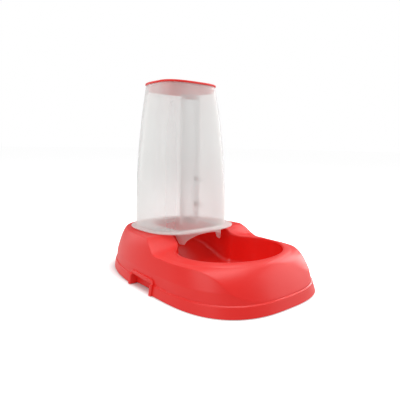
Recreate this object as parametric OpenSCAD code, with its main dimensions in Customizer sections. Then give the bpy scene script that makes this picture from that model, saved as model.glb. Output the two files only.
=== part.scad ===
// Gravity dispenser for small animals: a hollow moulded base with a drinking or feeding bowl,
// a tapered see-through hopper that drops into it, a tube inside the hopper and a lift-off lid.
// The bowl faces -Y, +Z is up, and the origin is the middle of the footprint on the ground.

/* [Base] */
// Overall length of the base, front to back
base_len = 300; // [260:1:350]
// Overall width of the base
base_w = 200; // [172:1:240]
// Height of the collar that carries the hopper
collar_h = 62; // [54:0.5:74]
// Height of the rim around the bowl
rim_h = 49; // [42:0.5:52]
// Wall thickness of the base moulding
base_wall = 2.4; // [1.8:0.1:3.2]
// Height of the plinth band around the foot of the base
plinth_h = 13; // [9:0.5:16]
// How far the plinth stands proud of the flank above it
plinth_step = 1.2; // [0.6:0.1:2]

/* [Bowl and throat] */
// Length of the bowl, front to back
bowl_d = 117; // [98:1:130]
// Plan distance from the base's front edge to the bowl's front edge
rim_front = 36.5; // [30:0.5:42]
// Plan distance from the base's side edge to the bowl's side edge
rim_side = 27; // [25:0.5:31]
// Height of the bowl floor above the ground
bowl_floor = 8; // [5:0.5:12]
// Width of the throat that runs from the bowl back under the hopper
throat_w = 92; // [78:1:100]
// Height of the chute floor at the back of the throat
chute_h = 30; // [24:0.5:34]

/* [Hopper] */
// Height of the hopper above the collar, without the lid
hopper_h = 193; // [150:1:232]
// Wall thickness of the hopper moulding
hopper_wall = 1.8; // [1.4:0.1:2.4]
// Length of the hopper's flange, front to back
flange_d = 118; // [104:1:122]
// Plan distance from the base's side edge to the flange's side edge
flange_side = 30; // [27:0.5:34]
// Plan distance from the base's back edge to the flange's back edge
flange_back = 47.5; // [42:0.5:54]
// Thickness of the flange
flange_t = 2; // [1.5:0.1:3]
// Width of the flange outside the hopper wall
flange_lip = 9; // [6:0.5:11]
// How much narrower the hopper is at each side of its mouth than at its foot
taper_side = 17; // [10:0.5:22]
// How much shorter the hopper is at the front of its mouth than at its foot
taper_front = 16; // [10:0.5:20]
// How much shorter the hopper is at the back of its mouth than at its foot
taper_back = 7; // [3:0.5:12]
// How far the skirt hangs into the throat below the collar
skirt_drop = 5; // [3:0.5:9]
// How far the two legs beside the arched outlet hang below the collar
leg_drop = 16; // [10:0.5:20]
// Width of the arched outlet in the front of the skirt
arch_w = 64; // [40:1:66]

/* [Inner tube] */
// Outside diameter of the tube inside the hopper
tube_d = 27; // [20:0.5:32]
// Wall thickness of the tube
tube_wall = 1.6; // [1.2:0.1:2.4]
// Gap between the tube and the hopper's front wall at the foot
tube_setback = 16.5; // [15:0.5:20]

/* [Lid] */
// Thickness of the lid's top plate at its edge
lid_t = 2.6; // [2:0.1:4]
// How far the lid stands out past the hopper's mouth
lid_lip = 1; // [0.5:0.1:2]
// Height of the crown in the middle of the lid
lid_crown = 1.4; // [0.8:0.1:3]
// Depth of the plug rim that centres the lid in the mouth
plug_h = 8; // [5:0.5:12]

/* [Grip notches] */
// Clear width of the finger notch in each flank
notch_w = 46; // [38:1:54]
// Height of the finger notch above the ground
notch_h = 14.5; // [12:0.5:18]
// Width of the moulded frame around the notch
frame_t = 4.8; // [3:0.1:6]
// How far the frame stands out past the plinth
frame_proud = 2.2; // [0.5:0.1:3]
// Depth of the grip from the face of its frame to the plate that closes it
grip_deep = 14; // [10:0.5:20]

/* [Feet] */
// Diameter of each rubber foot
foot_d = 16; // [12:0.5:18]
// Thickness of each foot below its post
foot_t = 3.6; // [3:0.1:5]
// How far the feet hold the base's edge off the ground
foot_proud = 1; // [0.5:0.1:1.5]

/* [Clearances] */
// Gap all round between the lid's plug rim and the hopper's mouth
plug_clear = 0.5; // [0.3:0.05:1]
// Gap around the skirt at the side of the throat
skirt_clear = 9; // [6:0.5:12]
// Gap between a piece and the curved wall that it bears on
seat_clear = 0.3; // [0.2:0.05:0.5]
// Radial gap of a foot's stem in its post
stem_clear = 0.1; // [0.05:0.05:0.2]

/* [Hidden] */
base_steps = 72;     // points around each ring of the base
hopper_steps = 96;   // points around each ring of the hopper
lid_steps = 64;      // points around each ring of the lid
round_fn = 64;       // facets of true cylinders when drawn on screen

// places worked out from the driving sizes
bowl_rx = base_w / 2 - rim_side;
bowl_ry = bowl_d / 2;
bowl_y = -base_len / 2 + rim_front + bowl_ry;
flange_rx = base_w / 2 - flange_side;
flange_y = base_len / 2 - flange_back - flange_d / 2;
flange_front = flange_y - flange_d / 2;
throat_back = flange_y + flange_d / 2 - flange_lip - 1;   // just inside the flange's lip
hub_y = bowl_y + 0.6 * bowl_ry;      // every ring of the cavity is drawn around this point
slope_start = flange_front - 3.5;    // the collar starts to rise from the bowl rim here
slope_end = flange_front + 29.5;     // and reaches its full height here
front_start = bowl_y - 22;           // the land falls faster from here forward
front_end = bowl_y - 85;
land_fall = 5.5;                     // fall of the land from the rim to the plinth at the sides
land_power = 1.2;
front_fall = 29.5;                   // and how much more it falls at the front
flank_curve = 1.5;                   // how fast the flank turns over towards the shoulder
jamb_blend = 14;                     // a low power rounds the corners between bowl and throat
outline_y = bowl_y + 10;             // widest station of the base
shoulder_front = 30;                 // plan inset of the shoulder at the front
shoulder_side = 17;                  // and at the sides
shoulder_back = 36;                  // and at the back
shoulder_drop = 1.5;                 // the shoulder lies this far under the collar and the rim
wall_draft = 3;                      // inward lean of the bowl wall over its height
floor_fillet = 7;                    // blend between the bowl wall and its floor
foot_z = collar_h + flange_t;        // top of the flange
mouth_z = collar_h + hopper_h;       // top of the hopper
skirt_z = collar_h - skirt_drop;
arch_top = collar_h - 1.5;
arch_leg = collar_h - leg_drop;      // tips of the legs beside the arch
leg_back = flange_front + 19.5;      // the legs end at this station
skirt_rx = throat_w / 2 - skirt_clear;
skirt_front = flange_front + 5.5;
skirt_back = throat_back - 4;
tube_r = tube_d / 2;
lip_extra = 5;                       // the flange is this much wider in front, and narrower behind
tube_y = flange_front + flange_lip + lip_extra + tube_setback + tube_r;
tube_bottom = foot_z + 1;
tube_top = mouth_z - 14;
lid_edge = 1;                        // bevel around the lid's top
lug_w = 5;
lug_h = 6;
lug_heights = [0.15, 0.33];          // shares of the hopper's height where the tube is tied to the wall
boss_reach = 4;                      // the lid's boss goes this far down the tube
post_r = 6;
post_gap = 2;                        // the gusset of a post is this much shorter at each end
stem_r = 3;
stem_h = 8;
foot_spots = [[base_w / 2 - 34, bowl_y - 45], [base_w / 2 - 46, throat_back + 20]];

// soft step from 0 to 1
function ramp(t) = let (u = min(1, max(0, t))) u * u * (3 - 2 * u);
function mix(a, b, t) = a + (b - a) * t;

// point on an oval whose front and back halves have their own depth and squareness
// shape = [half width, middle y, front depth, back depth, front power, back power]
function oval_point(shape, angle) =
    let (front = sin(angle) < 0,
         depth = front ? shape[2] : shape[3],
         power = front ? shape[4] : shape[5],
         k = pow(pow(abs(cos(angle)), power) + pow(abs(sin(angle)), power), -1 / power))
    [shape[0] * k * cos(angle), shape[1] + depth * k * sin(angle)];

// outlines of the base
foot_oval = [base_w / 2, outline_y, outline_y + base_len / 2, base_len / 2 - outline_y, 2.6, 2.55];
shoulder_oval = [base_w / 2 - shoulder_side, outline_y, foot_oval[2] - shoulder_front,
                 foot_oval[3] - shoulder_back, 2.4, 3.2];

// height of the surface around the bowl and the collar, share 0 at the cavity's edge and 1 at the plinth
function land_height(y, share) =
    let (front = ramp((front_start - y) / (front_start - front_end)),
         low = rim_h - land_fall * pow(share, land_power) - front_fall * front * share * share,
         high = collar_h - shoulder_drop * pow(share, 3))
    mix(low, high, ramp((y - slope_start) / (slope_end - slope_start)));
function top_z(y) = land_height(y, 0);
// height of the flank, share 0 at the ground and 1 at the shoulder
function flank_height(share) =
    mix(plinth_h + 1, collar_h - shoulder_drop,
        1 - pow(1 - (share - plinth_share) / (1 - plinth_share), flank_curve));
// height of the cavity floor: flat in the bowl, rising as a chute under the hopper
function floor_z(y) = mix(bowl_floor, chute_h, ramp((y - hub_y + 4) / (throat_back - hub_y - 20)));

// plan radius of the cavity edge, from the hub: the larger of the bowl and the throat
function bowl_radius(angle) =
    let (s = sin(angle), c = cos(angle), gap = hub_y - bowl_y,
         a = c * c / (bowl_rx * bowl_rx) + s * s / (bowl_ry * bowl_ry),
         b = gap * s / (bowl_ry * bowl_ry),
         k = gap * gap / (bowl_ry * bowl_ry) - 1)
    (-b + sqrt(b * b - a * k)) / a;
function throat_radius(angle) =
    sin(angle) <= 0 ? 0
    : pow(pow(abs(cos(angle)) * 2 / throat_w, 8) + pow(sin(angle) / (throat_back - hub_y), 8), -1 / 8);
function cavity_radius(angle) =
    pow(pow(bowl_radius(angle), jamb_blend) + pow(throat_radius(angle), jamb_blend), 1 / jamb_blend);
function cavity_point(angle, inset, share = 1) =
    let (r = (cavity_radius(angle) - inset) * share) [r * cos(angle), hub_y + r * sin(angle)];

// one ring of the plinth at a height, moved out from the flank by a little
function plinth_ring(share, z, out = 0) = [
    for (i = [0 : base_steps - 1])
        let (p = oval_point(mix(foot_oval, shoulder_oval, share), i * 360 / base_steps),
             r = norm([p[0], p[1] - outline_y]))
        [p[0] * (1 + out / r), outline_y + (p[1] - outline_y) * (1 + out / r), z]
];
// one ring of the flank, and then of the land from the shoulder to the cavity's edge:
// each point lies at the lower of the two surfaces
function outer_ring(share, land = 0) = [
    for (i = [0 : base_steps - 1])
        let (angle = i * 360 / base_steps,
             edge = cavity_point(angle, 0),
             foot = oval_point(mix(foot_oval, shoulder_oval, plinth_share), angle),
             p = mix(oval_point(mix(foot_oval, shoulder_oval, share), angle), edge, land),
             surface = land_height(p[1], norm(p - edge) / norm(foot - edge)))
        [p[0], p[1], land == 1 ? surface : min(flank_height(share), surface)]
];
// one ring of the cavity wall or floor, lift above the floor
function cavity_ring(inset, lift, share = 1) = [
    for (i = [0 : base_steps - 1])
        let (angle = i * 360 / base_steps, p = cavity_point(angle, inset, share))
        [p[0], p[1], lift < 0 ? top_z(p[1]) + lift : floor_z(p[1]) + lift]
];

plinth_share = 0.11;                 // the plinth leans in by this share of the flank
base_skin = concat(
    [plinth_ring(0, foot_proud), plinth_ring(plinth_share, plinth_h),
     plinth_ring(plinth_share, plinth_h + 1, -plinth_step)],
    [for (s = [0.22, 0.38, 0.56, 0.74, 0.88, 1]) outer_ring(s)],
    [for (s = [0.35, 0.7, 1]) outer_ring(1, s)],
    [cavity_ring(0.8, -3), cavity_ring(wall_draft, floor_fillet),
     cavity_ring(wall_draft + 2, 2), cavity_ring(wall_draft + floor_fillet, 0)],
    [for (s = [0.72, 0.4, 0.12]) cavity_ring(wall_draft + floor_fillet, 0, s)]);

// a moulded skin of even thickness: each point is moved along the surface normal
function skin_normal(rings, i, j) =
    let (n = len(rings[0]),
         around = rings[i][(j + 1) % n] - rings[i][(j + n - 1) % n],
         along = rings[min(i + 1, len(rings) - 1)][j] - rings[max(i - 1, 0)][j],
         v = cross(around, along))
    v / norm(v);
function inner_skin(rings, wall) = [
    for (i = [0 : len(rings) - 1]) [
        for (j = [0 : len(rings[0]) - 1])
            let (v = skin_normal(rings, i, j), flat = norm([v[0], v[1]]))
            rings[i][j] - wall * (i == 0 ? [v[0], v[1], 0] / flat : v)
    ]
];

// faces that join ring after ring of n points each
function band_faces(count, n, closed = false) = [
    for (i = [0 : count - (closed ? 1 : 2)], j = [0 : n - 1], half = [0, 1])
        let (a = i * n + j, b = i * n + (j + 1) % n,
             k = (i + 1) % count, c = k * n + j, d = k * n + (j + 1) % n)
        half == 0 ? [a, b, c] : [b, d, c]
];
// a bowl-like skin: outer rings, then the inner rings in reverse, each end closed by a fan
module skin_solid(outer, inner) {
    n = len(outer[0]);
    rings = concat([for (i = [len(outer) - 1 : -1 : 0]) outer[i]], inner);
    points = [for (ring = rings, p = ring) p];
    first = len(points);
    ends = [mean_point(outer[len(outer) - 1]), mean_point(inner[len(inner) - 1])];
    last_start = (len(rings) - 1) * n;
    polyhedron(concat(points, ends),
        concat(band_faces(len(rings), n),
               [for (j = [0 : n - 1]) [first, (j + 1) % n, j]],
               [for (j = [0 : n - 1]) [first + 1, last_start + j, last_start + (j + 1) % n]]),
        convexity = 8);
}
function mean_point(ring) = [0, ring_sum(ring, 1), ring_sum(ring, 2)] / len(ring);
function ring_sum(ring, axis, i = 0) = i == len(ring) ? 0 : ring[i][axis] + ring_sum(ring, axis, i + 1);

// how far outside an oval a point lies: over 1 is outside
function oval_level(shape, x, y) =
    let (front = y < shape[1], power = front ? shape[4] : shape[5])
    pow(abs(x) / shape[0], power) + pow(abs(y - shape[1]) / (front ? shape[2] : shape[3]), power);
// share of the flank whose ring passes over a point, by halving
function flank_share(x, y, low = 0, high = 1, turns = 14) =
    let (middle = (low + high) / 2)
    turns == 0 ? middle
    : oval_level(mix(foot_oval, shoulder_oval, middle), x, y) > 1 ? flank_share(x, y, low, middle, turns - 1)
    : flank_share(x, y, middle, high, turns - 1);
// how far a ray from the hub runs before it leaves the plinth, by halving
function plinth_reach(way, low = 0, high = 2, turns = 14) =
    let (middle = (low + high) / 2)
    turns == 0 ? middle
    : oval_level(mix(foot_oval, shoulder_oval, plinth_share), way[0] * middle, hub_y + way[1] * middle) > 1
    ? plinth_reach(way, low, middle, turns - 1)
    : plinth_reach(way, middle, high, turns - 1);
// height of the base's outer surface over a point outside the cavity
function cover_z(x, y) =
    let (way = [x, y - hub_y], edge = cavity_radius(atan2(way[1], way[0])) / norm(way))
    min(flank_height(flank_share(x, y)), land_height(y, (1 - edge) / (plinth_reach(way) - edge)));

// a post that ends within the wall above it, and a gusset to the cavity wall
module post(spot) {
    rise = atan2(spot[1] - hub_y, spot[0]);
    reach = norm([spot[0], spot[1] - hub_y]);
    start = cavity_radius(rise) - wall_draft / 2 + base_wall / 2;
    edge = (reach + post_r) / reach;
    top = cover_z(spot[0] * edge, hub_y + (spot[1] - hub_y) * edge) - base_wall / 2;
    translate([spot[0], spot[1], foot_t]) cylinder(r = post_r, h = top - foot_t, $fn = round_fn);
    translate([0, hub_y, 0]) rotate([0, 0, rise])
        translate([start, -base_wall / 2, foot_t + post_gap])
            cube([reach - start, base_wall, top - foot_t - 2 * post_gap]);
}
module post_bore(spot) {
    translate([spot[0], spot[1], foot_t - 1]) cylinder(r = stem_r, h = stem_h + 2, $fn = round_fn);
}

// half width of the footprint at a station behind the widest one
function half_width(y) =
    foot_oval[0] * pow(1 - pow(abs(y - outline_y) / foot_oval[3], foot_oval[5]), 1 / foot_oval[5]);
notch_y = 0;
notch_lean = atan((half_width(notch_y - notch_w / 2) - half_width(notch_y + notch_w / 2)) / notch_w);
module notch_place(side) {
    scale([side, 1, 1]) translate([half_width(notch_y), notch_y, 0]) rotate([0, 0, notch_lean]) children();
}
module notch_shape(grow) {
    translate([0, -notch_w / 2 - grow]) square([notch_h - foot_proud + grow, notch_w + 2 * grow]);
}
module notch_frame() {
    translate([frame_proud, 0, foot_proud]) rotate([0, -90, 0]) difference() {
        linear_extrude(grip_deep + base_wall) notch_shape(frame_t);
        translate([-1, -notch_w / 2, -1]) cube([notch_h - foot_proud + 1, notch_w, grip_deep + 1]);
    }
}
module notch_cut() {
    translate([-20, -notch_w / 2, 0]) cube([30, notch_w, notch_h]);
}

module base() color("tomato") {
    difference() {
        union() {
            skin_solid(base_skin, inner_skin(base_skin, base_wall));
            for (side = [-1, 1], spot = foot_spots) post([side * spot[0], spot[1]]);
        }
        for (side = [-1, 1], spot = foot_spots) post_bore([side * spot[0], spot[1]]);
        for (side = [-1, 1]) notch_place(side) notch_cut();
    }
    for (side = [-1, 1]) notch_place(side) notch_frame();
}

// hopper wall outline: share 0 at the foot and 1 at the mouth
foot_wall = [flange_rx - flange_lip, flange_y, flange_d / 2 - flange_lip - lip_extra,
             flange_d / 2 - flange_lip + lip_extra, 3.1, 3.1];
mouth_wall = [foot_wall[0] - taper_side, flange_y, foot_wall[2] - taper_front,
              foot_wall[3] - taper_back, 3.2, 3.2];
hopper_heights = [for (s = [1, 0.86, 0.72, 0.56, 0.38, 0.18, 0]) mix(foot_z, mouth_z, s)];
wall_table = [for (z = hopper_heights) [z, pow((z - foot_z) / (mouth_z - foot_z), 2.1)]];
function wall_share(z) = lookup(z, wall_table);
function grown(shape, out) = [shape[0] + out, shape[1], shape[2] + out, shape[3] + out, shape[4], shape[5]];
function oval_ring(shape, z, n) = [
    for (i = [0 : n - 1]) let (p = oval_point(shape, i * 360 / n)) [p[0], p[1], z]
];
function wall_ring(z, inset) =
    oval_ring(grown(mix(foot_wall, mouth_wall, wall_share(z)), -inset), z, hopper_steps);

flange_oval = [flange_rx, flange_y, flange_d / 2, flange_d / 2, 2.7, 2.7];
skirt_oval = [skirt_rx, (skirt_front + skirt_back) / 2, (skirt_back - skirt_front) / 2,
              (skirt_back - skirt_front) / 2, 4, 5];
// lower edge of the skirt: an arch between two legs at the front, and short everywhere else
function skirt_edge(p) =
    let (across = abs(p[0]) / (arch_w / 2))
    across < 1 && p[1] < skirt_oval[1] ? arch_leg + (arch_top - arch_leg) * sqrt(1 - pow(across, 4))
    : mix(arch_leg, skirt_z, ramp((p[1] - leg_back + 4) / 8));
function skirt_ring(inset) = [
    for (i = [0 : hopper_steps - 1])
        let (angle = i * 360 / hopper_steps, p = oval_point(grown(skirt_oval, -inset), angle),
             edge = oval_point(skirt_oval, angle))
        [p[0], p[1], skirt_edge(edge)]
];
hopper_rings = concat(
    [for (z = hopper_heights) wall_ring(z, 0)],
    [oval_ring(flange_oval, foot_z, hopper_steps), oval_ring(flange_oval, collar_h, hopper_steps),
     oval_ring(skirt_oval, collar_h, hopper_steps), skirt_ring(0), skirt_ring(hopper_wall),
     oval_ring(grown(skirt_oval, -hopper_wall), foot_z - 0.3, hopper_steps)],
    [for (i = [len(hopper_heights) - 1 : -1 : 0])
        wall_ring(hopper_heights[i], hopper_wall)]);

// a sleeve-like skin: its rings close on themselves
module sleeve_solid(rings) {
    n = len(rings[0]);
    polyhedron([for (ring = rings, p = ring) p], band_faces(len(rings), n, true), convexity = 8);
}
module hopper() color("gainsboro", 0.6) sleeve_solid(hopper_rings);

// tube inside the hopper, tied to the front wall by two lugs
module inner_tube() color("gainsboro", 0.6) {
    difference() {
        union() {
            translate([0, tube_y, tube_bottom])
                cylinder(r = tube_r, h = tube_top - tube_bottom, $fn = round_fn);
            for (share = lug_heights) {
                z = mix(foot_z, mouth_z, share);
                wall = grown(mix(foot_wall, mouth_wall, wall_share(z + lug_h)), -hopper_wall - seat_clear);
                front = wall[1] - wall[2];
                translate([-lug_w / 2, front, z]) cube([lug_w, tube_y - front, lug_h]);
            }
        }
        translate([0, tube_y, tube_bottom - 1])
            cylinder(r = tube_r - tube_wall, h = tube_top - tube_bottom + 2, $fn = round_fn);
    }
}

// lid: crowned plate with a plug rim, and a boss that closes the tube
lid_oval = grown(mouth_wall, lid_lip);
plug_oval = grown(mouth_wall, -hopper_wall - plug_clear);
function scaled(shape, k) = [shape[0] * k, shape[1], shape[2] * k, shape[3] * k, shape[4], shape[5]];
lid_outer = concat(
    [oval_ring(grown(plug_oval, -hopper_wall), mouth_z - plug_h, lid_steps),
     oval_ring(plug_oval, mouth_z - plug_h, lid_steps),
     oval_ring(plug_oval, mouth_z, lid_steps), oval_ring(lid_oval, mouth_z, lid_steps),
     oval_ring(lid_oval, mouth_z + lid_t - lid_edge, lid_steps),
     oval_ring(grown(lid_oval, -lid_edge), mouth_z + lid_t, lid_steps)],
    [for (k = [0.75, 0.5, 0.25])
        oval_ring(scaled(lid_oval, k), mouth_z + lid_t + lid_crown * (1 - k * k), lid_steps)]);
lid_inner = [oval_ring(scaled(plug_oval, 0.9), mouth_z, lid_steps),
             oval_ring(scaled(plug_oval, 0.5), mouth_z + lid_crown / 2, lid_steps)];
module lid() color("crimson") {
    skin_solid(lid_outer, lid_inner);
    boss_r = tube_r - tube_wall - plug_clear;
    translate([0, tube_y, tube_top - boss_reach])
        difference() {
            cylinder(r = boss_r, h = mouth_z + 1 - tube_top + boss_reach, $fn = round_fn);
            translate([0, 0, -1])
                cylinder(r = boss_r - tube_wall, h = mouth_z - tube_top - boss_reach, $fn = round_fn);
        }
}

// rubber foot: a disc under the post and a stem in its bore
module foot(spot) color("dimgray") translate([spot[0], spot[1], 0]) {
    cylinder(r = foot_d / 2, h = foot_t, $fn = round_fn);
    cylinder(r = stem_r - stem_clear, h = foot_t + stem_h - 1, $fn = round_fn);
}
module foot_front_left() foot([-foot_spots[0][0], foot_spots[0][1]]);
module foot_front_right() foot(foot_spots[0]);
module foot_rear_left() foot([-foot_spots[1][0], foot_spots[1][1]]);
module foot_rear_right() foot(foot_spots[1]);

base();
hopper();
inner_tube();
lid();
foot_front_left();
foot_front_right();
foot_rear_left();
foot_rear_right();
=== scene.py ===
import math
import bmesh
import bpy
import numpy as np
from mathutils import Matrix, Vector


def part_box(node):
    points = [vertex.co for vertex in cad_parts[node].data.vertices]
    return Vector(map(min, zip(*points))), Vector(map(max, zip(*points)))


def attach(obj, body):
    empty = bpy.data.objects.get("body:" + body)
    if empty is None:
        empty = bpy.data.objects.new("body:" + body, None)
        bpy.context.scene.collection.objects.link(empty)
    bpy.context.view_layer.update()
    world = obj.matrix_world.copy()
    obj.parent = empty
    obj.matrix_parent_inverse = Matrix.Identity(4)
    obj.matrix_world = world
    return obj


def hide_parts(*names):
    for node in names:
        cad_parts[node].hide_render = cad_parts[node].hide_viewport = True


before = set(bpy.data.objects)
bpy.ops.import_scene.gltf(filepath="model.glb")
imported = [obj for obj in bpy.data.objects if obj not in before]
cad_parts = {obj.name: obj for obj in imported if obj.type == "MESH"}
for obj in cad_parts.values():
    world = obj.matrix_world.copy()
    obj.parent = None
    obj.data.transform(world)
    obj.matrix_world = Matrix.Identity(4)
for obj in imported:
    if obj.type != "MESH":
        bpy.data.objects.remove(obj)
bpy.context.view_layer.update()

baseLow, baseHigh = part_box("base")
hopperLow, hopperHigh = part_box("hopper")
tubeLow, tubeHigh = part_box("inner_tube")
lidLow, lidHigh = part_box("lid")

cameraPlan = {
    "distance": 0.530,      # along the ground, from the middle of the footprint
    "azimuth": -40.8,       # degrees; 0 stands in front of the bowl
    "height": 0.1761,
    "aimTurn": 0.4,         # the lens looks a little past the middle
    "pitch": 7.9,           # degrees down
    "roll": 0.9,
    "lens": 36.0,
    "sensor": 36.0,
}


def placeCamera(plan):
    around = math.radians(plan["azimuth"])
    look = math.radians(plan["azimuth"] + plan["aimTurn"])
    down = math.radians(plan["pitch"])
    tilt = math.radians(plan["roll"])
    place = Vector((plan["distance"] * math.sin(around), -plan["distance"] * math.cos(around), plan["height"]))
    forward = Vector((-math.sin(look) * math.cos(down), math.cos(look) * math.cos(down), -math.sin(down)))
    right = Vector((math.cos(look), math.sin(look), 0.0))
    up = right.cross(forward)
    rolledRight = right * math.cos(tilt) + up * math.sin(tilt)
    rolledUp = up * math.cos(tilt) - right * math.sin(tilt)
    data = bpy.data.cameras.new("camera")
    data.lens = plan["lens"]
    data.sensor_width = plan["sensor"]
    data.clip_start = 0.01
    camera = bpy.data.objects.new("camera", data)
    camera.matrix_world = Matrix.Translation(place) @ Matrix((rolledRight, rolledUp, -forward)).transposed().to_4x4()
    bpy.context.scene.collection.objects.link(camera)
    bpy.context.scene.camera = camera


placeCamera(cameraPlan)
print("camera placed")


def smoothStep(t):
    u = np.clip(t, 0.0, 1.0)
    return u * u * (3 - 2 * u)


def turns(count):
    return np.arange(count) * 2 * math.pi / count


# an oval is half width, middle y, front depth, back depth, front power, back power
def ovalPoints(oval, angles, grow=0.0):
    front = np.sin(angles) < 0
    depth = np.where(front, oval[2], oval[3]) + grow
    power = np.where(front, oval[4], oval[5])
    reach = (np.abs(np.cos(angles)) ** power + np.abs(np.sin(angles)) ** power) ** (-1 / power)
    return np.stack([(oval[0] + grow) * reach * np.cos(angles), oval[1] + depth * reach * np.sin(angles)], 1)


def mixOvals(first, second, share):
    return [a + (b - a) * share for a, b in zip(first, second)]


def ringAt(points, height):
    return np.column_stack([points, np.broadcast_to(height, len(points))])


def newPiece(name, points, faces, material, sharpAngle=35.0):
    mesh = bpy.data.meshes.new(name)
    mesh.from_pydata([tuple(p) for p in points], [], faces)
    mesh.validate()
    shell = bmesh.new()
    shell.from_mesh(mesh)
    bmesh.ops.recalc_face_normals(shell, faces=shell.faces)
    shell.to_mesh(mesh)
    shell.free()
    mesh.materials.append(material)
    piece = bpy.data.objects.new(name, mesh)
    bpy.context.scene.collection.objects.link(piece)
    smoothFaces(piece, sharpAngle)
    return piece


def smoothFaces(piece, sharpAngle):
    piece.data.shade_smooth()
    piece.data.set_sharp_from_angle(angle=math.radians(sharpAngle))


def bandFaces(count, around, closed=False):
    faces = []
    for i in range(count if closed else count - 1):
        k = (i + 1) % count
        for j in range(around):
            n = (j + 1) % around
            faces.append((i * around + j, k * around + j, k * around + n, i * around + n))
    return faces


def skinParts(outer, inner):  # a cup of even wall: outer rings end in a cap, and so do the inner ones
    around = len(outer[0])
    rings = outer[::-1] + inner
    points = np.concatenate(rings + [outer[-1].mean(0)[None], inner[-1].mean(0)[None]])
    faces = bandFaces(len(rings), around)
    top = len(points) - 2
    last = (len(rings) - 1) * around
    for j in range(around):
        n = (j + 1) % around
        faces.append((top, j, n))
        faces.append((top + 1, last + n, last + j))
    return points, [tuple(reversed(f)) for f in faces]


def sleeveParts(rings):  # rings that close on themselves, like a pipe with a shaped wall
    return np.concatenate(rings), [tuple(reversed(f)) for f in bandFaces(len(rings), len(rings[0]), True)]


def joinParts(*parts):
    points, faces, start = [], [], 0
    for p, f in parts:
        points.append(np.asarray(p))
        faces += [tuple(v + start for v in face) for face in f]
        start += len(p)
    return np.concatenate(points), faces


def carve(target, tools, operation):
    for tool in tools:
        step = target.modifiers.new("carve", "BOOLEAN")
        step.operation = operation
        step.solver = "EXACT"
        step.object = tool
    graph = bpy.context.evaluated_depsgraph_get()
    made = bpy.data.meshes.new_from_object(target.evaluated_get(graph))
    target.modifiers.clear()
    target.data = made
    for tool in tools:
        bpy.data.objects.remove(tool)


# effects that several finishes share
def group(name, inputs, outputs):
    tree = bpy.data.node_groups.new(name, "ShaderNodeTree")
    for label, kind, value in inputs:
        socket = tree.interface.new_socket(label, in_out="INPUT", socket_type=kind)
        socket.default_value = value
    for label, kind in outputs:
        tree.interface.new_socket(label, in_out="OUTPUT", socket_type=kind)
    return tree, tree.nodes.new("NodeGroupInput"), tree.nodes.new("NodeGroupOutput")


def mathNode(tree, operation, a, b):
    node = tree.nodes.new("ShaderNodeMath")
    node.operation = operation
    for socket, value in zip(node.inputs, (a, b)):
        if isinstance(value, (int, float)):
            socket.default_value = value
        else:
            tree.links.new(value, socket)
    return node.outputs[0]


def noiseNode(tree, place, scale, detail, roughness=0.5):
    node = tree.nodes.new("ShaderNodeTexNoise")
    node.inputs["Detail"].default_value = detail
    node.inputs["Roughness"].default_value = roughness
    tree.links.new(place, node.inputs["Vector"])
    if isinstance(scale, (int, float)):
        node.inputs["Scale"].default_value = scale
    else:
        tree.links.new(scale, node.inputs["Scale"])
    return node.outputs["Fac"]


def makeMouldGrain():  # the fine skin that a mould leaves, with broad cloudy patches and stray scuffs
    tree, entry, leave = group("mouldGrain", [
        ("Grain Scale", "NodeSocketFloat", 900.0),
        ("Cloud Scale", "NodeSocketFloat", 14.0),
        ("Scuff Scale", "NodeSocketFloat", 60.0),
        ("Base Roughness", "NodeSocketFloat", 0.4),
        ("Roughness Spread", "NodeSocketFloat", 0.1),
    ], [("Cloud", "NodeSocketFloat"), ("Roughness", "NodeSocketFloat"), ("Height", "NodeSocketFloat")])
    place = tree.nodes.new("ShaderNodeTexCoord").outputs["Object"]
    grain = noiseNode(tree, place, entry.outputs["Grain Scale"], 3.0)
    cloud = noiseNode(tree, place, entry.outputs["Cloud Scale"], 2.0)
    stretch = tree.nodes.new("ShaderNodeMapping")
    stretch.inputs["Scale"].default_value = (1.0, 7.0, 1.0)
    tree.links.new(place, stretch.inputs["Vector"])
    scuff = noiseNode(tree, stretch.outputs[0], entry.outputs["Scuff Scale"], 5.0, 0.7)
    scuffMask = mathNode(tree, "GREATER_THAN", scuff, 0.68)
    spread = mathNode(tree, "MULTIPLY", mathNode(tree, "SUBTRACT", cloud, 0.5), entry.outputs["Roughness Spread"])
    rough = mathNode(tree, "ADD", entry.outputs["Base Roughness"], spread)
    rough = mathNode(tree, "ADD", rough, mathNode(tree, "MULTIPLY", scuffMask, 0.04))
    tree.links.new(cloud, leave.inputs["Cloud"])
    tree.links.new(rough, leave.inputs["Roughness"])
    tree.links.new(grain, leave.inputs["Height"])
    return tree


mouldGrain = makeMouldGrain()


def newMaterial(name):
    material = bpy.data.materials.new(name)
    material.use_nodes = True
    tree = material.node_tree
    return material, tree, tree.nodes["Principled BSDF"]


def mixColors(tree, factor, first, second):
    node = tree.nodes.new("ShaderNodeMix")
    node.data_type = "RGBA"
    tree.links.new(factor, node.inputs["Factor"])
    for socket, value in ((node.inputs[6], first), (node.inputs[7], second)):
        if isinstance(value, (tuple, list)):
            socket.default_value = (*value, 1.0)
        else:
            tree.links.new(value, socket)
    return node.outputs[2]


def addGrain(tree, shader, plan):
    grain = tree.nodes.new("ShaderNodeGroup")
    grain.node_tree = mouldGrain
    for label in ("Grain Scale", "Cloud Scale", "Scuff Scale", "Base Roughness", "Roughness Spread"):
        grain.inputs[label].default_value = plan[label]
    bump = tree.nodes.new("ShaderNodeBump")
    bump.inputs["Strength"].default_value = plan["bump"]
    bump.inputs["Distance"].default_value = 0.0002
    tree.links.new(grain.outputs["Height"], bump.inputs["Height"])
    tree.links.new(bump.outputs[0], shader.inputs["Normal"])
    return grain


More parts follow.
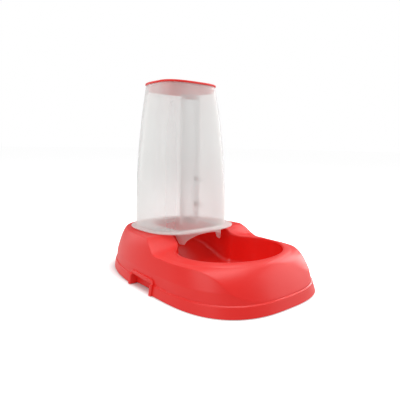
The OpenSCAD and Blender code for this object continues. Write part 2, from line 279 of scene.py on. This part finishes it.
redPlan = {
    "color": (0.78, 0.014, 0.010),
    "paler": (0.82, 0.019, 0.014),      # cloudy patches of the same red
    "Grain Scale": 1400.0,
    "Cloud Scale": 12.0,
    "Scuff Scale": 45.0,
    "Base Roughness": 0.40,
    "Roughness Spread": 0.08,
    "bump": 0.10,
    "polished": 0.17,                   # roughness inside the bowl
}


def makeRed(plan):
    material, tree, shader = newMaterial("redMoulding")
    grain = addGrain(tree, shader, plan)
    tree.links.new(mixColors(tree, grain.outputs["Cloud"], plan["color"], plan["paler"]), shader.inputs["Base Color"])
    shader.inputs["IOR"].default_value = 1.50
    polish = tree.nodes.new("ShaderNodeAttribute")      # painted on the bowl and the throat
    polish.attribute_name = "polish"
    rough = tree.nodes.new("ShaderNodeMix")
    tree.links.new(polish.outputs["Fac"], rough.inputs["Factor"])
    tree.links.new(grain.outputs["Roughness"], rough.inputs["A"])
    rough.inputs["B"].default_value = plan["polished"]
    tree.links.new(rough.outputs["Result"], shader.inputs["Roughness"])
    return material


clearPlan = {
    "color": (0.885, 0.905, 0.890),
    "warm": (0.895, 0.900, 0.885),
    "Grain Scale": 700.0,
    "Cloud Scale": 9.0,
    "Scuff Scale": 30.0,
    "Base Roughness": 0.30,
    "Roughness Spread": 0.10,
    "bump": 0.05,
    "haze": 0.26,           # how much one surface hides, seen square on
    "edgeHaze": 0.40,       # and how much more it hides where it turns away
}
tubePlan = {
    **clearPlan,
    "color": (0.97, 0.97, 0.97),
    "warm": (0.98, 0.97, 0.96),
    "Base Roughness": 0.08,
    "Roughness Spread": 0.02,
    "bump": 0.02,
    "haze": 0.06,
    "edgeHaze": 0.75,
}


def makeClear(name, plan):
    material, tree, shader = newMaterial(name)
    grain = addGrain(tree, shader, plan)
    tree.links.new(mixColors(tree, grain.outputs["Cloud"], plan["color"], plan["warm"]), shader.inputs["Base Color"])
    tree.links.new(grain.outputs["Roughness"], shader.inputs["Roughness"])
    shader.inputs["IOR"].default_value = 1.50
    turned = tree.nodes.new("ShaderNodeLayerWeight")
    turned.inputs["Blend"].default_value = 0.35
    more = mathNode(tree, "MULTIPLY", turned.outputs["Facing"], plan["edgeHaze"])
    tree.links.new(mathNode(tree, "ADD", more, plan["haze"]), shader.inputs["Alpha"])
    return material


def makeRubber():
    material, tree, shader = newMaterial("footRubber")
    plan = {"Grain Scale": 500.0, "Cloud Scale": 60.0, "Scuff Scale": 90.0, "Base Roughness": 0.75,
            "Roughness Spread": 0.15, "bump": 0.3}
    grain = addGrain(tree, shader, plan)
    tree.links.new(mixColors(tree, grain.outputs["Cloud"], (0.03, 0.03, 0.032), (0.05, 0.05, 0.05)),
                   shader.inputs["Base Color"])
    tree.links.new(grain.outputs["Roughness"], shader.inputs["Roughness"])
    return material


redMoulding = makeRed(redPlan)
clearMoulding = makeClear("clearMoulding", clearPlan)
clearTube = makeClear("clearTube", tubePlan)
footRubber = makeRubber()
print("finishes made")

baseShape = {
    "width": 0.200,
    "collarHeight": 0.062,
    "rimHeight": 0.049,
    "wall": 0.0024,
    "plinthTop": 0.013,
    "plinthStep": 0.0018,
    "plinthLean": 0.11,         # share of the way from footprint to shoulder that the plinth leans in
    "rimFront": 0.0365,         # plan distance from the front edge to the bowl
    "rimSide": 0.027,
    "bowlLength": 0.117,
    "bowlFloor": 0.008,
    "throatWidth": 0.092,
    "throatBack": 0.0925,
    "chuteHeight": 0.030,
    "shoulderFront": 0.030,     # plan inset of the shoulder
    "shoulderSide": 0.017,
    "shoulderBack": 0.036,
    "shoulderDrop": 0.0015,
    "wallDraft": 0.003,
    "floorFillet": 0.008,
    "rimRound": 0.0015,
    "slopeStart": -0.0190,      # the top surface climbs from the rim to the collar between these stations
    "slopeEnd": 0.0140,
    "flankCurve": 1.5,          # how fast the flank turns over towards the shoulder
    "landFall": 0.0055,         # fall of the land from the bowl's rim to the plinth's station
    "landPower": 1.2,
    "frontFall": 0.0295,        # and how much more it falls at the front
    "frontStart": 0.084,        # the front begins this far forward
    "frontEnd": 0.145,
    "creaseRound": 0.0007,      # size of the rounding where the flank meets the land
    "jambBlend": 14,            # a low power rounds the corners between bowl and throat
    "sectionRings": 96,
    "around": 480,
}
bowlY = baseLow.y + baseShape["rimFront"] + baseShape["bowlLength"] / 2
bowlAcross = baseShape["width"] / 2 - baseShape["rimSide"]
bowlAlong = baseShape["bowlLength"] / 2
hubY = bowlY + 0.6 * bowlAlong      # the cavity's rings are drawn around this point
outlineY = bowlY + 0.010            # widest station of the base
footOval = [baseShape["width"] / 2, outlineY, outlineY - baseLow.y, baseHigh.y - outlineY, 2.75, 2.55]
shoulderOval = [footOval[0] - baseShape["shoulderSide"], outlineY, footOval[2] - baseShape["shoulderFront"],
                footOval[3] - baseShape["shoulderBack"], 2.4, 3.2]


def topHeight(y):
    rise = smoothStep((y - baseShape["slopeStart"]) / (baseShape["slopeEnd"] - baseShape["slopeStart"]))
    return baseShape["rimHeight"] + (baseShape["collarHeight"] - baseShape["rimHeight"]) * rise


def floorHeight(y):
    rise = smoothStep((y - hubY + 0.004) / (baseShape["throatBack"] - hubY - 0.020))
    return baseShape["bowlFloor"] + (baseShape["chuteHeight"] - baseShape["bowlFloor"]) * rise


def cavityRadius(angles):
    s, c = np.sin(angles), np.cos(angles)
    gap = hubY - bowlY
    a = c * c / bowlAcross ** 2 + s * s / bowlAlong ** 2
    b = gap * s / bowlAlong ** 2
    k = gap * gap / bowlAlong ** 2 - 1
    bowl = (-b + np.sqrt(b * b - a * k)) / a
    side = np.abs(c) * 2 / baseShape["throatWidth"]
    back = np.maximum(s, 0) / (baseShape["throatBack"] - hubY)
    throat = np.where(s > 0, (side ** 8 + back ** 8) ** (-1 / 8), 1e-4)
    blend = baseShape["jambBlend"]
    return (bowl ** blend + throat ** blend) ** (1 / blend)     # a soft maximum of the two


def cavityPoints(angles, inset, share=1.0):
    reach = (cavityRadius(angles) - inset) * share
    return np.stack([reach * np.cos(angles), hubY + reach * np.sin(angles)], 1)


def flankPoints(angles, share, out=0.0):
    p = ovalPoints(mixOvals(footOval, shoulderOval, share), angles)
    away = p - np.array([0, outlineY])
    return p + away / np.linalg.norm(away, axis=1)[:, None] * out


flankStart = baseShape["plinthTop"] + 0.0006
flankEnd = baseShape["collarHeight"] - baseShape["shoulderDrop"]


def flankHeight(share):
    lean = baseShape["plinthLean"]
    turn = 1 - (share - lean) / (1 - lean)
    return flankStart + (flankEnd - flankStart) * (1 - turn ** baseShape["flankCurve"])


def flankShare(height):  # the same curve read the other way
    lean = baseShape["plinthLean"]
    rise = np.clip((height - flankStart) / (flankEnd - flankStart), 0, 1)
    return lean + (1 - lean) * (1 - (1 - rise) ** (1 / baseShape["flankCurve"]))


def landHeight(y, share):  # the surface around the bowl and the collar, share 0 at the cavity's edge
    s = baseShape
    front = smoothStep((-y - s["frontStart"]) / (s["frontEnd"] - s["frontStart"]))
    low = s["rimHeight"] - s["landFall"] * share ** s["landPower"] - s["frontFall"] * front * share ** 2
    high = s["collarHeight"] - s["shoulderDrop"] * share ** 3
    rise = smoothStep((y - s["slopeStart"]) / (s["slopeEnd"] - s["slopeStart"]))
    return low + (high - low) * rise


def lesser(a, b, blend):  # the lower of two heights, rounded where they cross
    t = np.clip(0.5 + (b - a) / (2 * blend), 0, 1)
    return b + (a - b) * t - blend * t * (1 - t)


def sectionRings(angles):  # from the top of the plinth over the shoulder to the cavity's edge
    s = baseShape
    shares = s["plinthLean"] + (1 - s["plinthLean"]) * np.linspace(0, 1, 160) ** 1.3
    edge = ovalPoints(shoulderOval, angles)
    mouth = cavityPoints(angles, -s["rimRound"])
    plan, flank = [], []
    for share in shares:
        rise = (share - s["plinthLean"]) / (1 - s["plinthLean"])
        plan.append(flankPoints(angles, share, -s["plinthStep"] * max(0.0, 1 - rise / 0.18)))
        flank.append(np.full(len(angles), flankHeight(share)))
    for t in np.linspace(0, 1, 80)[1:]:
        plan.append(edge + (mouth - edge) * t)
        flank.append(np.full(len(angles), flankEnd + s["shoulderDrop"] * t))
    plan, flank = np.array(plan), np.array(flank)
    away = np.linalg.norm(plan - mouth[None], axis=2)
    land = landHeight(plan[:, :, 1], away / away[:1])
    last = topHeight(mouth[:, 1])
    height = lesser(flank, land, s["creaseRound"])
    height[-1] = last
    grid = np.concatenate([plan, height[:, :, None]], axis=2)
    step = np.linalg.norm(np.diff(grid, axis=0), axis=2)
    length = np.concatenate([np.zeros((1, len(angles))), np.cumsum(step, axis=0)])
    rings = np.empty((s["sectionRings"], len(angles), 3))
    for j in range(len(angles)):
        at = np.linspace(0, length[-1, j], s["sectionRings"])
        for k in range(3):
            rings[:, j, k] = np.interp(at, length[:, j], grid[:, j, k])
    return list(rings)


def baseRings(angles):
    s = baseShape
    rings, keep = [], []

    def add(points, height, kept=False):
        if kept:
            keep.append(len(rings))
        rings.append(ringAt(points, height))

    low = baseLow.z
    add(flankPoints(angles, 0.0, -0.0004), low, True)
    for t in np.linspace(0, 1, 7):
        add(flankPoints(angles, s["plinthLean"] * t), low + 0.0005 + (s["plinthTop"] - 0.0014 - low) * t)
    for turn in np.radians([30, 60, 90]):
        add(flankPoints(angles, s["plinthLean"], -0.0008 * (1 - math.cos(turn))),
            s["plinthTop"] - 0.0009 + 0.0008 * math.sin(turn), turn > 1.5)
    for i, ring in enumerate(sectionRings(angles)):
        if i % 12 == 6:
            keep.append(len(rings))
        rings.append(ring)
    for turn in np.radians([15, 30, 45, 60, 75, 90]):
        p = cavityPoints(angles, -s["rimRound"] * (1 - math.sin(turn)))
        add(p, topHeight(p[:, 1]) - s["rimRound"] * (1 - math.cos(turn)), abs(turn - math.radians(45)) < 0.01)
    for t in np.linspace(0.08, 1, 12):
        p = cavityPoints(angles, s["wallDraft"] * t)
        high = topHeight(p[:, 1]) - s["rimRound"]
        add(p, high + (floorHeight(p[:, 1]) + s["floorFillet"] - high) * t, t == 1)
    for turn in np.radians(np.linspace(10, 90, 9)):
        p = cavityPoints(angles, s["wallDraft"] + s["floorFillet"] * (1 - math.cos(turn)))
        add(p, floorHeight(p[:, 1]) + s["floorFillet"] * (1 - math.sin(turn)), abs(turn - math.radians(50)) < 0.02)
    for share in (0.93, 0.85, 0.76, 0.66, 0.55, 0.44, 0.33, 0.22, 0.12, 0.04):
        p = cavityPoints(angles, s["wallDraft"] + s["floorFillet"], share)
        add(p, floorHeight(p[:, 1]), share in (0.93, 0.66, 0.33, 0.04))
    return rings, keep


def insideOf(rings, wall):  # the same skin moved in by the wall, along its own normals
    grid = np.array(rings)
    around = np.roll(grid, -1, 1) - np.roll(grid, 1, 1)
    along = np.concatenate([grid[1:2] - grid[:1], grid[2:] - grid[:-2], grid[-1:] - grid[-2:-1]])
    normal = np.cross(around, along)
    normal /= np.linalg.norm(normal, axis=2)[:, :, None]
    inner = grid - normal * wall
    flat = normal[0] * np.array([1, 1, 0])
    inner[0] = grid[0] - flat / np.linalg.norm(flat, axis=1)[:, None] * wall
    return list(inner)


def flankX(y, z):  # half width of the base at a station and a height
    s = baseShape
    if z < flankStart:
        share, out = s["plinthLean"] * z / flankStart, 0.0
    else:
        share = float(flankShare(z))
        rise = (share - s["plinthLean"]) / (1 - s["plinthLean"])
        out = -s["plinthStep"] * max(0.0, 1 - rise / 0.18)
    oval = mixOvals(footOval, shoulderOval, share)
    depth, power = (oval[2], oval[4]) if y < oval[1] else (oval[3], oval[5])
    return oval[0] * max(0.0, 1 - (abs(y - oval[1]) / depth) ** power) ** (1 / power) + out


notchShape = {
    "width": 0.046,
    "height": 0.0145,
    "frame": 0.0052,        # width of the raised band around the opening
    "proud": 0.0023,        # how far it stands out from the flank
    "deep": 0.012,          # how far it reaches inside, to the plate that closes it
    "plate": 0.0024,
    "corner": 0.0045,
    "edge": 0.0014,
}


def archPath(halfWidth, height, corner, low, steps=8):  # up one leg, over and down the other
    path = [(-halfWidth, z) for z in np.linspace(low, height - corner, 5)]
    for turn in np.linspace(0, math.pi / 2, steps)[1:]:
        path.append((-halfWidth + corner * (1 - math.cos(turn)), height - corner + corner * math.sin(turn)))
    path += [(y, height) for y in np.linspace(-halfWidth + corner, halfWidth - corner, 12)[1:-1]]
    for turn in np.linspace(math.pi / 2, 0, steps):
        path.append((halfWidth - corner * (1 - math.cos(turn)), height - corner + corner * math.sin(turn)))
    path += [(halfWidth, z) for z in np.linspace(height - corner, low, 5)[1:]]
    return np.array(path)


def frameBand(side):
    s = notchShape
    half = s["frame"] / 2
    path = archPath(s["width"] / 2 + half - 0.0002, s["height"] + half - 0.0002, s["corner"], baseLow.z)
    way = np.gradient(path, axis=0)
    way /= np.linalg.norm(way, axis=1)[:, None]
    out = np.stack([-way[:, 1], way[:, 0]], 1)
    section = [(-half, -s["deep"])]
    for turn in np.linspace(0, math.pi / 2, 6):
        section.append((-half + s["edge"] * (1 - math.cos(turn)), s["proud"] - s["edge"] * (1 - math.sin(turn))))
    for turn in np.linspace(math.pi / 2, 0, 6):
        section.append((half - s["edge"] * (1 - math.cos(turn)), s["proud"] - s["edge"] * (1 - math.sin(turn))))
    section.append((half, -s["deep"]))
    rings = []
    for p, n in zip(path, out):
        x = flankX(p[0], max(p[1], baseLow.z))
        rings.append(np.array([(side * (x + b), p[0] + a * n[0], p[1] + a * n[1]) for a, b in section]))
    count = len(section)
    faces = bandFaces(len(rings), count)
    faces += [tuple(range(count)), tuple(reversed(range(len(rings) * count - count, len(rings) * count)))]
    if side > 0:
        faces = [tuple(reversed(f)) for f in faces]
    return np.concatenate(rings), faces


def notchTool(side):
    s = notchShape
    path = archPath(s["width"] / 2, s["height"], 0.003, -0.002)
    near, far = flankX(0, 0.001) - s["deep"] + s["plate"] - 0.0012, 0.108
    rings = [np.array([(side * x, y, z) for y, z in path]) for x in (near, far)]
    count = len(path)
    faces = bandFaces(2, count)
    faces += [tuple(range(count)), tuple(reversed(range(count, 2 * count)))]
    if side > 0:
        faces = [tuple(reversed(f)) for f in faces]
    return np.concatenate(rings), faces


def paintPolish(piece):  # marks the faces of the bowl and the throat
    mesh = piece.data
    count = len(mesh.vertices)
    place = np.empty(count * 3, dtype=np.float32)
    mesh.vertices.foreach_get("co", place)
    place = place.reshape(-1, 3)
    x, y = place[:, 0], place[:, 1] - hubY
    reach = np.hypot(x, y)
    inside = cavityRadius(np.arctan2(y, x)) - reach
    under = topHeight(place[:, 1]) - place[:, 2]
    value = smoothStep((inside + 0.0004) / 0.0008) * smoothStep((under - 0.0004) / 0.0012)
    polish = mesh.attributes.new("polish", "FLOAT", "POINT")
    polish.data.foreach_set("value", value.astype(np.float32))


def boxParts(low, high, turn=0.0, about=(0, 0)):
    corners = np.array([(x, y, z) for x in (low[0], high[0]) for y in (low[1], high[1]) for z in (low[2], high[2])])
    c, s = math.cos(turn), math.sin(turn)
    turned = corners.copy()
    turned[:, 0] = about[0] + corners[:, 0] * c - corners[:, 1] * s
    turned[:, 1] = about[1] + corners[:, 0] * s + corners[:, 1] * c
    faces = [(0, 1, 3, 2), (4, 6, 7, 5), (0, 4, 5, 1), (2, 3, 7, 6), (0, 2, 6, 4), (1, 5, 7, 3)]
    return turned, faces


def backPlate(side):  # closes the finger grip at its inner end
    s = notchShape
    half = s["width"] / 2 + s["frame"] * 0.8
    front = flankX(0, 0.001) - s["deep"] + s["plate"]
    x = sorted((side * front, side * (front - s["plate"])))
    return boxParts((x[0], -half, baseLow.z), (x[1], half, s["height"] + s["frame"] * 0.8))


def makeBase():
    angles = turns(baseShape["around"])
    rings, keep = baseRings(angles)
    inner = insideOf([rings[i] for i in keep], baseShape["wall"])
    base = newPiece("baseShell", *skinParts(rings, inner), redMoulding)
    frames = [newPiece("frameTool", *frameBand(side), redMoulding) for side in (-1, 1)]
    carve(base, frames + [newPiece("plateTool", *backPlate(side), redMoulding) for side in (-1, 1)], "UNION")
    cutters = [newPiece("notchTool", *notchTool(side), redMoulding) for side in (-1, 1)]
    carve(base, cutters, "DIFFERENCE")
    smoothFaces(base, 32.0)
    paintPolish(base)
    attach(base, "base")
    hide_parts("base")
    return base


makeBase()
print("base made")

postShape = {"radius": 0.006, "bore": 0.003, "rib": 0.0024, "round": 0.0005, "around": 48}
footNodes = ["foot_front_left", "foot_front_right", "foot_rear_left", "foot_rear_right"]


def lathe(profile, middle, around):  # a closed profile of radius and height, turned about a vertical axis
    angles = turns(around)
    rings = []
    for radius, height in profile:
        rings.append(np.stack([middle[0] + radius * np.cos(angles), middle[1] + radius * np.sin(angles),
                               np.full(around, height)], 1))
    return rings


def coverHeight(x, y):  # height of the outer surface over a point under it
    low, high = flankStart, flankEnd
    for _ in range(24):
        middle = (low + high) / 2
        if flankX(y, middle) > x:
            low = middle
        else:
            high = middle
    turn = np.array([math.atan2(y - hubY, x)])
    edge = float(cavityRadius(turn)[0])
    away = math.hypot(x, y - hubY)
    rim = away
    while flankX(hubY + rim * math.sin(turn[0]), flankStart) > rim * math.cos(turn[0]):
        rim += 0.0005
    return min(low, float(landHeight(y, (away - edge) / (rim - edge))))


def makePosts():
    s = postShape
    parts = []
    for node in footNodes:
        low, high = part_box(node)
        middle = (low + high) / 2
        r, b, e = s["radius"], s["bore"], s["round"]
        turn = math.atan2(middle.y - hubY, middle.x)
        reach = math.hypot(middle.x, middle.y - hubY)
        start = float(cavityRadius(np.array([turn]))[0]) - 0.0006
        bottom = low.z + 0.0036
        far = (reach + r) / reach
        top = coverHeight(abs(middle.x) * far, hubY + (middle.y - hubY) * far) - baseShape["wall"] * 0.7
        profile = [(b, bottom), (r - e, bottom), (r, bottom + e), (r, top), (b, top), (b, bottom + e)]
        parts.append(sleeveParts(lathe(profile, middle, s["around"])[::-1]))
        parts.append(boxParts((start, -s["rib"] / 2, bottom + 0.002), (reach - r + 0.0004, s["rib"] / 2, top - 0.002),
                              turn, (0, hubY)))
    posts = newPiece("footPosts", *joinParts(*parts), redMoulding)
    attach(posts, "base")


def makeFeet():
    for node in footNodes:
        low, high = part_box(node)
        middle = (low + high) / 2
        r = (high.x - low.x) / 2
        z = low.z
        disc = z + 0.0036
        stem = 0.0029
        profile = [(0.0005, z + 0.0005), (r * 0.35, z + 0.0005), (r * 0.40, z), (r * 0.55, z), (r * 0.60, z + 0.0005),
                   (r * 0.72, z + 0.0005), (r * 0.76, z), (r - 0.0008, z), (r - 0.0002, z + 0.0004), (r, z + 0.0010),
                   (r, disc - 0.0008), (r - 0.0003, disc - 0.0002), (r - 0.0010, disc), (stem, disc),
                   (stem, high.z - 0.0008), (stem - 0.0008, high.z), (0.0005, high.z)]
        foot = newPiece("rubber_" + node, *sleeveParts(lathe(profile, middle, 64)[::-1]), footRubber)
        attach(foot, "base")
        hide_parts(node)


makePosts()
makeFeet()
print("feet made")

hopperShape = {
    "wall": 0.0018,
    "flangeThick": 0.002,
    "flangeLip": 0.009,
    "lipExtra": 0.005,
    "taperSide": 0.017,
    "taperFront": 0.016,
    "taperBack": 0.007,
    "bulge": 2.1,               # the walls stay near upright low down and lean in higher up
    "archWidth": 0.064,
    "archTop": 0.0600,
    "archLeg": 0.046,           # tips of the two legs beside the arch
    "skirtShort": 0.057,        # lower edge of the skirt elsewhere
    "legBack": 0.009,           # the legs end at this station
    "around": 288,
}
seatZ = baseShape["collarHeight"]
flangeTop = seatZ + hopperShape["flangeThick"]
mouthZ = hopperHigh.z
flangeOval = [hopperHigh.x, (hopperLow.y + hopperHigh.y) / 2, (hopperHigh.y - hopperLow.y) / 2,
              (hopperHigh.y - hopperLow.y) / 2, 2.7, 2.7]
footWall = [flangeOval[0] - hopperShape["flangeLip"], flangeOval[1],
            flangeOval[2] - hopperShape["flangeLip"] - hopperShape["lipExtra"],
            flangeOval[2] - hopperShape["flangeLip"] + hopperShape["lipExtra"], 3.1, 3.1]
mouthWall = [footWall[0] - hopperShape["taperSide"], footWall[1], footWall[2] - hopperShape["taperFront"],
             footWall[3] - hopperShape["taperBack"], 3.2, 3.2]
skirtFront = hopperLow.y + 0.0038
skirtBack = baseShape["throatBack"] - 0.004
skirtOval = [baseShape["throatWidth"] / 2 - 0.009, (skirtFront + skirtBack) / 2, (skirtBack - skirtFront) / 2,
             (skirtBack - skirtFront) / 2, 4, 5]


def wallOval(z):
    share = np.clip((z - flangeTop) / (mouthZ - flangeTop), 0, 1) ** hopperShape["bulge"]
    return mixOvals(footWall, mouthWall, share)


def wallRing(z, angles, grow=0.0):
    return ringAt(ovalPoints(wallOval(z), angles, grow), z)


def skirtEdge(angles):
    s = hopperShape
    edge = ovalPoints(skirtOval, angles)
    across = np.abs(edge[:, 0]) / (s["archWidth"] / 2)
    arch = s["archLeg"] + (s["archTop"] - s["archLeg"]) * np.clip(1 - across ** 2.6, 0, 1) ** 0.5
    back = s["archLeg"] + (s["skirtShort"] - s["archLeg"]) * smoothStep((edge[:, 1] - s["legBack"] + 0.005) / 0.010)
    return np.where((across < 1) & (edge[:, 1] < skirtOval[1]), arch, back)


def makeHopper():
    s = hopperShape
    angles = turns(s["around"])
    wall = s["wall"]
    rings = []
    for turn in np.radians([80, 40, 0]):    # rounded edge of the mouth
        rings.append(wallRing(mouthZ - 0.0005 * (1 - math.sin(turn)), angles, -0.0005 * (1 - math.cos(turn))))
    for z in np.linspace(mouthZ - 0.004, flangeTop + 0.004, 48):
        rings.append(wallRing(z, angles))
    for turn in np.radians([0, 22, 45, 67, 90]):    # fillet into the flange
        out = 0.0022 * (1 - math.cos(turn))
        rings.append(wallRing(flangeTop + 0.0022 * (1 - math.sin(turn)), angles, out))
    for turn in np.radians([90, 60, 30, 0, -30, -60, -90]):     # rounded flange edge
        grow = -0.0009 * (1 - math.cos(turn))
        rings.append(ringAt(ovalPoints(flangeOval, angles, grow), seatZ + 0.001 + 0.001 * math.sin(turn)))
    edge = skirtEdge(angles)
    for t in np.linspace(0, 1, 9):
        z = seatZ + (edge + 0.0006 - seatZ) * t
        rings.append(ringAt(ovalPoints(skirtOval, angles, -0.0004 * t), z))
    rings.append(ringAt(ovalPoints(skirtOval, angles, -0.0008), edge))
    rings.append(ringAt(ovalPoints(skirtOval, angles, -wall + 0.0001), edge))
    rings.append(ringAt(ovalPoints(skirtOval, angles, -wall - 0.0003), edge + 0.0006))
    rings.append(ringAt(ovalPoints(skirtOval, angles, -wall), seatZ + s["flangeThick"] - 0.0003))
    for z in np.linspace(flangeTop + 0.0004, mouthZ - 0.0005, 48):
        rings.append(wallRing(z, angles, -wall))
    rings.append(wallRing(mouthZ, angles, -wall + 0.0004))
    hopper = newPiece("hopperShell", *sleeveParts(rings), clearMoulding, 50.0)
    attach(hopper, "hopper")
    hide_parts("hopper")


makeHopper()
print("hopper made")

tubeShape = {"wall": 0.0016, "round": 0.0006, "lugWidth": 0.005, "lugHeight": 0.006,
             "lugPlaces": (0.15, 0.33), "around": 160}


def makeTube():
    s = tubeShape
    r = tubeHigh.x
    middle = Vector((0, tubeHigh.y - r, 0))
    b, e = r - s["wall"], s["round"]
    low, high = tubeLow.z, tubeHigh.z
    profile = [(b + e, low), (r - e, low), (r, low + e), (r, high - e), (r - e, high), (b + e, high), (b, high - e),
               (b, low + e)]
    parts = [sleeveParts(lathe(profile, middle, s["around"])[::-1])]
    for place in s["lugPlaces"]:
        z = flangeTop + (mouthZ - flangeTop) * place
        wall = wallOval(z + s["lugHeight"])
        front = wall[1] - wall[2] + hopperShape["wall"] + 0.0006
        parts.append(boxParts((-s["lugWidth"] / 2, front, z), (s["lugWidth"] / 2, middle.y - r + 0.0008, z + s["lugHeight"])))
    tube = newPiece("innerTube", *joinParts(*parts), clearTube)
    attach(tube, "hopper")
    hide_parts("inner_tube")


makeTube()
print("tube made")

lidShape = {"plate": 0.0026, "edge": 0.0010, "plugDepth": 0.008, "plugGap": 0.0005, "plugWall": 0.0018,
            "bossDepth": 0.018, "around": 224}


def makeLid():
    s = lidShape
    angles = turns(s["around"])
    lidOval = [lidHigh.x, mouthWall[1], mouthWall[2] + 0.001, mouthWall[3] + 0.001, 3.2, 3.2]
    gap = -hopperShape["wall"] - s["plugGap"]
    crown = lidHigh.z - mouthZ - s["plate"]
    outer = [ringAt(ovalPoints(mouthWall, angles, gap - s["plugWall"]), mouthZ - s["plugDepth"]),
             ringAt(ovalPoints(mouthWall, angles, gap - 0.0006), mouthZ - s["plugDepth"]),
             ringAt(ovalPoints(mouthWall, angles, gap), mouthZ - s["plugDepth"] + 0.0008),
             ringAt(ovalPoints(mouthWall, angles, gap), mouthZ - 0.0002),
             ringAt(ovalPoints(mouthWall, angles, gap + 0.0004), mouthZ),
             ringAt(ovalPoints(lidOval, angles, -0.0003), mouthZ),
             ringAt(ovalPoints(lidOval, angles), mouthZ + 0.0003)]
    for turn in np.radians([0, 25, 50, 75, 90]):
        outer.append(ringAt(ovalPoints(lidOval, angles, -s["edge"] * (1 - math.cos(turn))),
                            mouthZ + s["plate"] - s["edge"] * (1 - math.sin(turn))))
    for k in np.linspace(0.95, 0.03, 20):
        oval = [lidOval[0] * k, lidOval[1], lidOval[2] * k, lidOval[3] * k, 3.2, 3.2]
        outer.append(ringAt(ovalPoints(oval, angles), mouthZ + s["plate"] + crown * (1 - k * k)))
    inner = []
    for k in (0.93, 0.7, 0.4, 0.05):
        oval = [(mouthWall[0] + gap) * k, lidOval[1], (mouthWall[2] + gap) * k, (mouthWall[3] + gap) * k, 3.2, 3.2]
        inner.append(ringAt(ovalPoints(oval, angles), mouthZ + crown * 0.5 * (1 - k * k)))
    bossRadius = tubeHigh.x - tubeShape["wall"] - 0.0005
    middle = Vector((0, tubeHigh.y - tubeHigh.x, 0))
    low, high, r, b, e = lidLow.z, mouthZ + 0.0012, bossRadius, bossRadius - 0.0016, 0.0005
    profile = [(b + e, low), (r - e, low), (r, low + e), (r, high), (b, high), (b, low + e)]
    boss = sleeveParts(lathe(profile, middle, 128)[::-1])
    lid = newPiece("lidShell", *joinParts(skinParts(outer, inner), boss), redMoulding, 50.0)
    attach(lid, "lid")
    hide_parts("lid")


makeLid()
print("lid made")

roomPlan = {
    "floorSize": 30.0,
    "floorColor": (0.80, 0.80, 0.80),
    "floorLift": 0.70,          # whitens the floor for the camera
    "paintedShadeReach": (0.108, 0.158),   # under the object the lift fades out by position, so the floor keeps its rendered shade and is painted darker there: painted shade under the object
    "worldStrength": 0.36,      # what the white surroundings give off as light
    "worldSeen": 1.0,
}
lampPlan = {
    "left": {"place": (-1.30, -0.20, 0.80), "size": (1.1, 1.1), "power": 8.0},
    "right": {"place": (1.20, -0.80, 0.65), "size": (1.1, 1.1), "power": 8.0},
    "strip": {"place": (0.95, 0.05, 0.40), "size": (0.08, 0.9), "power": 3.0},
    "rear": {"place": (-0.35, 0.95, 0.45), "size": (0.08, 0.8), "power": 1.5},
    "top": {"place": (0.10, -0.05, 1.30), "size": (0.9, 0.9), "power": 9.0},
}


def seenDirectly(tree):  # one for the camera and for what shows through clear pieces
    path = tree.nodes.new("ShaderNodeLightPath")
    return mathNode(tree, "MAXIMUM", path.outputs["Is Camera Ray"], path.outputs["Is Transmission Ray"])


def makeFloor(plan):
    half = plan["floorSize"] / 2
    mesh = bpy.data.meshes.new("floor")
    mesh.from_pydata([(-half, -half, 0), (half, -half, 0), (half, half, 0), (-half, half, 0)], [], [(0, 1, 2, 3)])
    floor = bpy.data.objects.new("floor", mesh)
    bpy.context.scene.collection.objects.link(floor)
    material, tree, shader = newMaterial("floorPaper")
    shader.inputs["Base Color"].default_value = (*plan["floorColor"], 1.0)
    shader.inputs["Roughness"].default_value = 0.9
    shader.inputs["Specular IOR Level"].default_value = 0.0
    shader.inputs["Emission Color"].default_value = (1.0, 1.0, 1.0, 1.0)
    # the lift is cut out by position in an oval under the object, so the floor there is painted darker: painted shade
    # under the object
    place = tree.nodes.new("ShaderNodeTexCoord").outputs["Object"]
    apart = tree.nodes.new("ShaderNodeSeparateXYZ")
    tree.links.new(place, apart.inputs[0])
    terms = [mathNode(tree, "POWER", mathNode(tree, "ABSOLUTE", mathNode(tree, "DIVIDE", apart.outputs[k], reach), 0.0), 3.0)
             for k, reach in enumerate(plan["paintedShadeReach"])]
    clearOfPaintedShade = tree.nodes.new("ShaderNodeMapRange")
    clearOfPaintedShade.interpolation_type = "SMOOTHSTEP"
    clearOfPaintedShade.inputs["From Min"].default_value = 0.55
    clearOfPaintedShade.inputs["From Max"].default_value = 1.05
    tree.links.new(mathNode(tree, "ADD", *terms), clearOfPaintedShade.inputs["Value"])
    lift = mathNode(tree, "MULTIPLY", clearOfPaintedShade.outputs[0], plan["floorLift"])
    tree.links.new(mathNode(tree, "MULTIPLY", seenDirectly(tree), lift), shader.inputs["Emission Strength"])
    mesh.materials.append(material)


def makeWorld(plan):
    world = bpy.data.worlds.new("room")
    world.use_nodes = True
    tree = world.node_tree
    back = tree.nodes["Background"]
    back.inputs["Color"].default_value = (1.0, 1.0, 1.0, 1.0)
    strength = mathNode(tree, "MULTIPLY", seenDirectly(tree), plan["worldSeen"] - plan["worldStrength"])
    tree.links.new(mathNode(tree, "ADD", strength, plan["worldStrength"]), back.inputs["Strength"])
    bpy.context.scene.world = world


def makeLamp(name, plan):
    data = bpy.data.lights.new(name, "AREA")
    data.shape = "RECTANGLE"
    data.size, data.size_y = plan["size"]
    data.energy = plan["power"]
    lamp = bpy.data.objects.new(name, data)
    lamp.location = plan["place"]
    aim = Vector((0, 0, 0.10)) - lamp.location
    lamp.rotation_mode = "QUATERNION"
    lamp.rotation_quaternion = aim.to_track_quat("-Z", "Y")
    bpy.context.scene.collection.objects.link(lamp)


makeFloor(roomPlan)
makeWorld(roomPlan)
for lampName, plan in lampPlan.items():
    makeLamp(lampName + "Lamp", plan)
bpy.context.scene.view_settings.view_transform = "Standard"
print("room made")
